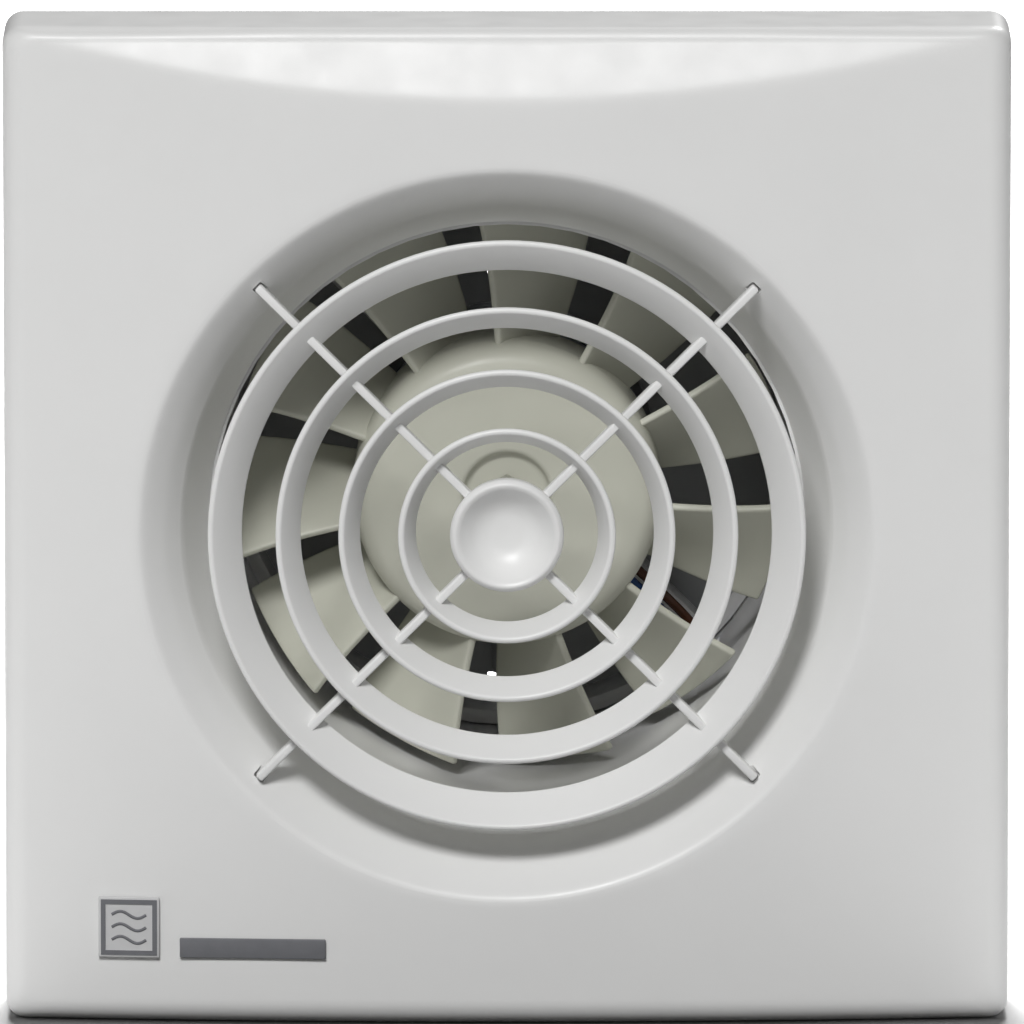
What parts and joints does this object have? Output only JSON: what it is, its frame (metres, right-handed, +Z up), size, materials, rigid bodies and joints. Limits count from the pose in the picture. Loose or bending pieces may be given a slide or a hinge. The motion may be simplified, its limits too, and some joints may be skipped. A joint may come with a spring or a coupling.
{
  "type": "extractor fan",
  "caption": "Square-fronted axial bathroom extractor fan for a round duct, with a bell-mouth inlet, ring grille, ball-bearing motor and a two-flap back-draught shutter.",
  "frame": {"origin": "on the duct axis, in the plane of the wall that the back plate's pads rest on", "axes": "+Y along the duct into the wall, +Z up, +X to the right seen from the front; the front faces -Y"},
  "size_m": [0.158, 0.1092, 0.158],
  "materials": {
    "white_abs": "moulded, satin gloss",
    "grey_print": "moulded, satin",
    "cream_plastic": "moulded, satin",
    "black_plastic": "moulded, matt",
    "grey_plastic": "moulded, satin",
    "rubber": "moulded, matt",
    "zinc_steel": "zinc plated",
    "ground_steel": "ground",
    "laminations": "stacked electrical steel",
    "copper_wire": "enamelled winding wire",
    "die_cast_aluminium": "die-cast, matt",
    "brass": "turned",
    "brown_lead": "extruded sheath",
    "blue_lead": "extruded sheath"
  },
  "bodies": {
    "housing": {"base_housing": "white_abs", "front_bearing_outer_race": "ground_steel", "rear_bearing_outer_race": "ground_steel", "motor_front_shield": "die_cast_aluminium", "motor_rear_shield": "die_cast_aluminium", "stator_core": "laminations", "motor_support": "white_abs", "shutter_rod": "ground_steel", "terminal_block": "black_plastic", "terminal_cover": "white_abs", "cable_clamp": "white_abs", "cable_grommet": "rubber", "motor_lead_live": "brown_lead", "motor_lead_neutral": "blue_lead", "stator_coil_1": "copper_wire", "rubber_damper_1": "rubber", "support_screw_1": "zinc_steel", "stator_coil_2": "copper_wire", "rubber_damper_2": "rubber", "support_screw_2": "zinc_steel", "stator_coil_3": "copper_wire", "rubber_damper_3": "rubber", "support_screw_3": "zinc_steel", "stator_coil_4": "copper_wire", "rubber_damper_4": "rubber", "support_screw_4": "zinc_steel", "motor_bolt_1": "zinc_steel", "terminal_screw_1": "brass", "clamp_screw_1": "zinc_steel", "motor_bolt_2": "zinc_steel", "terminal_screw_2": "brass", "clamp_screw_2": "zinc_steel"},
    "cover": {"front_cover": "white_abs", "inlet_grille": "white_abs", "badge": "grey_print", "name_bar": "grey_print"},
    "fan_wheel": {"impeller": "cream_plastic", "impeller_nut": "zinc_steel", "motor_shaft": "ground_steel", "rotor": "laminations", "front_bearing_inner_race": "ground_steel", "rear_bearing_inner_race": "ground_steel"},
    "left_shutter": {"left_flap": "grey_plastic", "left_flap_spring": "ground_steel"},
    "right_shutter": {"right_flap": "grey_plastic", "right_flap_spring": "ground_steel"}
  },
  "joints": [
    {"name": "impeller_spin", "type": "hinge", "parent": "housing", "child": "fan_wheel", "pos_m": [0, 0.016, 0], "axis": [0, -1, 0], "continuous": true},
    {"name": "left_flap_hinge", "type": "hinge", "parent": "housing", "child": "left_shutter", "pos_m": [0, 0.0806, 0], "axis": [0, 0, -1], "range_deg": [0, 75], "stiffness_Nm_per_rad": 0.001, "springref_deg": -20.05},
    {"name": "right_flap_hinge", "type": "hinge", "parent": "housing", "child": "right_shutter", "pos_m": [0, 0.0806, 0], "axis": [0, 0, 1], "range_deg": [0, 75], "stiffness_Nm_per_rad": 0.001, "springref_deg": -20.05},
    {"name": "cover_pull", "type": "slide", "parent": "housing", "child": "cover", "axis": [0, -1, 0], "range_m": [0, 0.03]}
  ]
}
